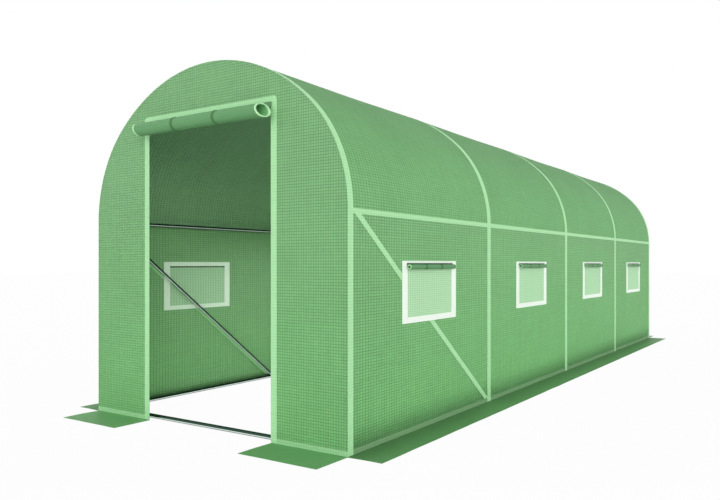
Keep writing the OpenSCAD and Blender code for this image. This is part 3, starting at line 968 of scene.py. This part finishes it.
DOOR_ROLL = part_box("door_roll")
DOOR_ROLL_HALF = DOOR_ROLL[1][0]
DOOR_ROLL_D = 0.076
DOOR_ROLL_BORE = 0.064
DOOR_ROLL_Y = DOOR_ROLL[0][1] + DOOR_ROLL_D / 2
DOOR_ROLL_Z = DOOR_ROLL[0][2] + DOOR_ROLL_D / 2
DOOR_ROLL_R = DOOR_ROLL_D / 2 - 0.0006  # to the middle of its film's last turn
DOOR_REACH = Vector((FRONT_Y - DOOR_ROLL_Y, DOOR_Z - DOOR_ROLL_Z))  # from its middle to the wall's edge
DOOR_HANG_L = math.sqrt(DOOR_REACH.length**2 - DOOR_ROLL_R**2)
DOOR_SLANT = math.atan2(*DOOR_REACH) - math.asin(DOOR_ROLL_R / DOOR_REACH.length)
DOOR_ROLL_CUTS = ((0.12, -0.31, 0.004), (0.46, -0.31, 0.004))  # as make_roll takes them
DOOR_FILM_T = 0.0005  # visible thickness of the rolled film
DOOR_TIE = (0.018, 0.001)  # width and thickness of a tie

door_film = roll_material(
    "door_film", DOOR_FILM_COLOUR, DOOR_ROLL_HALF, RIM_COLOUR, 0.009, math.pi * DOOR_ROLL_BORE,
    DOOR_Z - DOOR_HANG_L, DOOR_HANG_COLOUR, LONG_CELL,
)


TIE_EDGE = 0.0015  # width of a tie's thinner edges


def make_tie(name, node, place, at, radius, width, thick, start, sweep, material, per_turn=64):
    """A strap round a roll, at a distance along it, in place of a CAD node."""
    half = width / 2
    net = grid_net(
        [-half, -half + TIE_EDGE, 0, half - TIE_EDGE, half],
        spaced(start, start + sweep, 2 * math.pi / per_turn),
    )

    def put(s, angle, lift):
        at_edge = abs(s) > half - TIE_EDGE / 2 and lift > 0
        r = radius + lift - (0.3 * thick if at_edge else 0)
        return place(at + s, r * math.cos(angle), r * math.sin(angle))

    middle = start + sweep / 2
    out = place(at, math.cos(middle), math.sin(middle)) - place(at, 0, 0)
    strap = new_mesh(name, *thicken(net, put, 0.0, thick, out, len(net[1]) // 2), material)
    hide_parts(node)


def make_door_roll():
    """The door's film, rolled up over the doorway, and its two ties."""
    roll = Roll(DOOR_ROLL_BORE / 2, DOOR_ROLL_R, DOOR_Z, DOOR_HANG_L, DOOR_SLANT)
    ties = [-DOOR_ROLL_HALF / 3, DOOR_ROLL_HALF / 3]

    def put(s, a, b):
        return Vector((s, DOOR_ROLL_Y + a, DOOR_ROLL_Z + b))

    piece = make_roll(
        "door_film_rolled", roll, DOOR_ROLL_HALF, ties, put, door_film, DOOR_FILM_T, 44, (0, -1, 0),
        cuts=DOOR_ROLL_CUTS,
    )
    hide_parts("door_roll")
    for i, tie in enumerate(ties):
        make_tie(
            f"door_tie_{i + 1}", "door_roll_ties", put, tie, DOOR_ROLL_R, *DOOR_TIE,
            math.pi / 2, 1.5 * math.pi - DOOR_SLANT, tie_webbing,
        )


make_door_trim()
make_door_roll()


# ---- Windows ----

WINDOW_ROLL_D = 0.028
WINDOW_ROLL_BORE = 0.016
WINDOW_ROLL_HALF, WINDOW_ROLL_ENDS = window_part("window_rolls_right")
WINDOW_ROLL_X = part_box("window_rolls_right")[1][0] - WINDOW_ROLL_D / 2 - HALF_W  # its middle, off the film
WINDOW_ROLL_Z = sum(WINDOW_ROLL_ENDS) / 2
WINDOW_COVER_L = 0.300  # length of the film of a window cover
COVER_HANG = 0.021  # length of its upper end, straight up from the roll's middle
COVER_FILM_T = 0.0008  # its visible thickness
COVER_TIE = (0.012, 0.0009)  # width and thickness of a tie

# The window covers' hanging end has a dark painted shade along the top of the roll
cover_film = roll_material(
    "cover_film", COVER_FILM_COLOUR, WINDOW_ROLL_HALF, RIM_COLOUR, 0.003, math.pi * WINDOW_ROLL_BORE,
    WINDOW_COVER_L - COVER_HANG - 0.012, COVER_TOP_SHADE_COLOUR, LONG_CELL,
)
FRAME_T = 0.0016  # visible thickness of a window's frame
MESH_T = 0.0006  # and of its net
MESH_LIFT = -0.001  # from the film's outside to the net's inside
WINDOW_STEP = 0.03  # between the mesh lines of frames and nets
FRAME_STEP = 0.02  # and of frames, down the wall


def make_window_frame(side, word, i, put, hole):
    """The pale border round a window's net, which shows in the hole (y0, along0, y1, along1)."""
    y0, along0, y1, along1 = hole
    across = lines_between([BAY_Y[i] - FRAME_HALF, y0, y1, BAY_Y[i] + FRAME_HALF], WINDOW_STEP)
    down = lines_between([to_along(FRAME_Z[1]), along0, along1, to_along(FRAME_Z[0])], FRAME_STEP)
    net = grid_net(across, down, [hole])
    border = sheet_piece(
        f"window_frame_{word}_{i + 1}", net, put, frame_tape, 0.0, FRAME_T, (side, 0, 0), frame_tape_inner
    )
    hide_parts(f"window_frames_{word}")
    return border


def make_window_net(side, word, i, put, hole):
    """A window's net, in the hole of its border."""
    y0, along0, y1, along1 = hole
    net = grid_net(spaced(y0, y1, WINDOW_STEP), spaced(along0, along1, WINDOW_STEP))
    mesh = sheet_piece(
        f"window_net_{word}_{i + 1}", net, put, net_mesh, MESH_LIFT, MESH_T, (side, 0, 0), net_mesh_inner
    )
    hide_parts(f"window_nets_{word}")


def make_window(side, word, i):
    """The window in the middle of bay i: its frame, its net and its rolled-up cover."""
    hole = (BAY_Y[i] - NET_HALF, to_along(NET_Z[1]), BAY_Y[i] + NET_HALF, to_along(NET_Z[0]))
    put = mirrored(on_cover, side)
    border = make_window_frame(side, word, i, put, hole)
    make_window_net(side, word, i, put, hole)
    make_window_roll(side, word, i)


def make_window_roll(side, word, i):
    """A window's cover, rolled up at the top of its net, and its two ties."""
    middle = on_cover(BAY_Y[i], side * to_along(WINDOW_ROLL_Z), WINDOW_ROLL_X)
    roll = Roll(WINDOW_ROLL_BORE / 2, WINDOW_ROLL_D / 2 - 0.0004, WINDOW_COVER_L, COVER_HANG)
    ties = [-WINDOW_ROLL_HALF / 3, WINDOW_ROLL_HALF / 3]

    def put(s, a, b):
        return middle + Vector((-side * a, s, b))

    piece = make_roll(
        f"window_cover_{word}_{i + 1}", roll, WINDOW_ROLL_HALF, ties, put, cover_film, COVER_FILM_T, 32,
        (side, 0, 0), end_w=0.006,
    )
    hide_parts(f"window_rolls_{word}")
    for k, tie in enumerate(ties):
        make_tie(
            f"window_tie_{word}_{i + 1}_{k + 1}", f"window_ties_{word}", put, tie, WINDOW_ROLL_D / 2,
            *COVER_TIE, 0.0, 2 * math.pi, cover_tie, per_turn=40,
        )


for side, word in SIDES:
    for i in range(BAYS):
        make_window(side, word, i)


# ---- Bolts of the frame ----


NUT_ACROSS = 0.010  # between two opposite sides of a nut
NUT_R = NUT_ACROSS / math.sqrt(3)
NUT_H = 0.0045
BOLT_R = 0.003
BOLT_H = 0.009  # from the tube to the bolt's end


def rings_solid(centre, axis, count, rings):
    """A solid through rings (radius, height) of so many points, with its cloth coordinates."""
    side = axis.orthogonal().normalized()
    other = axis.cross(side)
    turns = [2 * math.pi * k / count for k in range(count)]
    ways = [side * math.cos(turn) + other * math.sin(turn) for turn in turns]
    points = [centre + axis * height + way * radius for radius, height in rings for way in ways]
    faces = []
    for low in range(0, len(points) - count, count):
        for k in range(count):
            n = (k + 1) % count
            faces.append((low + k, low + n, low + count + n, low + count + k))
    faces += [tuple(reversed(range(count))), tuple(range(len(points) - count, len(points)))]
    return points, faces, [(p[0], p[1]) for p in points]


def hex_bolt(centre, axis):
    """A nut and the end of its bolt, standing on a tube, as two solids."""
    nut = [(NUT_R, 0.0), (NUT_R, NUT_H * 0.8), (NUT_ACROSS / 2 * 0.95, NUT_H)]
    end = [(BOLT_R, NUT_H), (BOLT_R, BOLT_H - 0.001), (BOLT_R * 0.8, BOLT_H)]
    return [rings_solid(centre, axis, 6, nut), rings_solid(centre, axis, 12, end)]


def make_bolts():
    """A bolt where each rail crosses a hoop, but for the ground rails at the end hoops, seen on the rail's
    inner side.
    """
    parts = []
    for side, word in SIDES:
        for rail, ys in ((f"side_rail_{word}", HOOP_Y), (f"ground_rail_{word}", HOOP_Y[1:-1])):
            low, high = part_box(rail)
            x = low[0] if side > 0 else high[0]
            for y in ys:
                parts += hex_bolt(Vector((x, y, (low[2] + high[2]) / 2)), Vector((-side, 0, 0)))
    ridge_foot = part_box("ridge_rail")[0][2]
    for y in HOOP_Y:
        parts += hex_bolt(Vector((0, y, ridge_foot)), Vector((0, 0, -1)))
    bolts = new_mesh("frame_bolts", *joined(parts), low_steel)


make_bolts()


# ---- Studio: floor, world and camera ----


WHITE = (1, 1, 1, 1)
FLOOR_SEEN = 0.96  # how much of the floor's white doesn't depend on the light
FLOOR_REACH = 60.0  # from the middle of the floor to its edges
FLOOR_Z = -0.0005


def camera_share(graph):
    """1 for rays from the camera, and for those that metal and glass mirror or pass."""
    rays = graph.node("LightPath").outputs
    seen = graph.math("MAXIMUM", rays["Is Camera Ray"], rays["Is Glossy Ray"])
    return graph.math("MAXIMUM", seen, rays["Is Transmission Ray"])


def make_floor():
    """A pale floor that the camera sees nearly white, with the object's shadow faint on it."""
    graph = new_graph("floor_white")
    plain = graph.node("BsdfDiffuse", {"Color": (0.9, 0.9, 0.9, 1)})
    white = graph.node("Emission", {"Color": WHITE, "Strength": 1.0})
    seen = graph.math("MULTIPLY", camera_share(graph), FLOOR_SEEN)
    material = graph.finish(graph.node("MixShader", {0: seen, 1: plain.outputs[0], 2: white.outputs[0]}))
    mesh = bpy.data.meshes.new("floor")
    corners = [(x * FLOOR_REACH, y * FLOOR_REACH, FLOOR_Z) for x, y in ((-1, -1), (1, -1), (1, 1), (-1, 1))]
    mesh.from_pydata(corners, [], [(0, 1, 2, 3)])
    mesh.materials.append(material)
    added("floor", mesh)


LEVEL_LIGHT = 1.65  # brightness of the world at the horizon
TOP_LIGHT = 0.2  # brightness of the world straight up


def make_world():
    """Light that comes mostly from the sides. The camera sees plain white."""
    world = bpy.data.worlds.new("studio")
    bpy.context.scene.world = world
    graph = Graph(world)
    way = graph.node("TexCoord").outputs["Generated"]
    up = graph.split(way)[2]
    strength = graph.node("MapRange", {0: up, 3: LEVEL_LIGHT, 4: TOP_LIGHT}).outputs[0]
    light = graph.node("Background", {"Color": WHITE, "Strength": strength})
    white = graph.node("Background", {"Color": WHITE, "Strength": 1.0})
    share = camera_share(graph)
    shader = graph.node("MixShader", {0: share, 1: light.outputs[0], 2: white.outputs[0]})
    graph.finish(shader, "OutputWorld")


KEY_LIGHT = 1.5  # strength of the level light from the front right
KEY_ANGLE = math.radians(60)  # how wide it is, which makes its shadows soft
KEY_PLACE = (3, -6, 2)
KEY_TURN = (math.radians(88), 0, math.radians(42))


def add_light(name, kind, power, place):
    """A new light, and its settings."""
    data = bpy.data.lights.new(name, kind)
    data.energy = power
    light = added(name, data)
    light.location = place
    return light, data


def make_key_light():
    """A broad sun that lights the front and the right side."""
    light, data = add_light("key_light", "SUN", KEY_LIGHT, KEY_PLACE)
    data.angle = KEY_ANGLE
    light.rotation_euler = KEY_TURN


INSIDE_LIGHT = 32.0  # power of the soft light inside, in watts
INSIDE_SIZE = (1.2, 4.8)
INSIDE_PLACE = (0, 0.2, 1.15)


def make_inside_light():
    """A broad light that faces down inside the tunnel, for what the sun puts through the film."""
    light, data = add_light("inside_light", "AREA", INSIDE_LIGHT, INSIDE_PLACE)
    data.shape = "RECTANGLE"
    data.size, data.size_y = INSIDE_SIZE
    light.visible_camera = False
    light.visible_glossy = False
    light.visible_transmission = False


CAMERA_X = 3.0132
CAMERA_OUT = 2.5256  # from the front wall to the camera
CAMERA_Z = 0.9315
CAMERA_YAW = 30.748  # degrees to the left of the tunnel's length
CAMERA_LENS = 33.303  # focal length in millimetres, on a sensor 36 mm wide
CAMERA_SHIFT = (-0.10984, 0.01918)


def make_camera():
    """A level camera at the front right of the tunnel."""
    data = bpy.data.cameras.new("camera")
    data.sensor_width = 36
    data.lens = CAMERA_LENS
    data.shift_x, data.shift_y = CAMERA_SHIFT
    camera = added("camera", data)
    camera.location = (CAMERA_X, FRONT_Y - CAMERA_OUT, CAMERA_Z)
    camera.rotation_euler = (math.radians(90), 0, math.radians(CAMERA_YAW))
    bpy.context.scene.camera = camera


make_floor()
make_world()
make_key_light()
make_inside_light()
make_camera()
bpy.context.scene.view_settings.view_transform = "Standard"
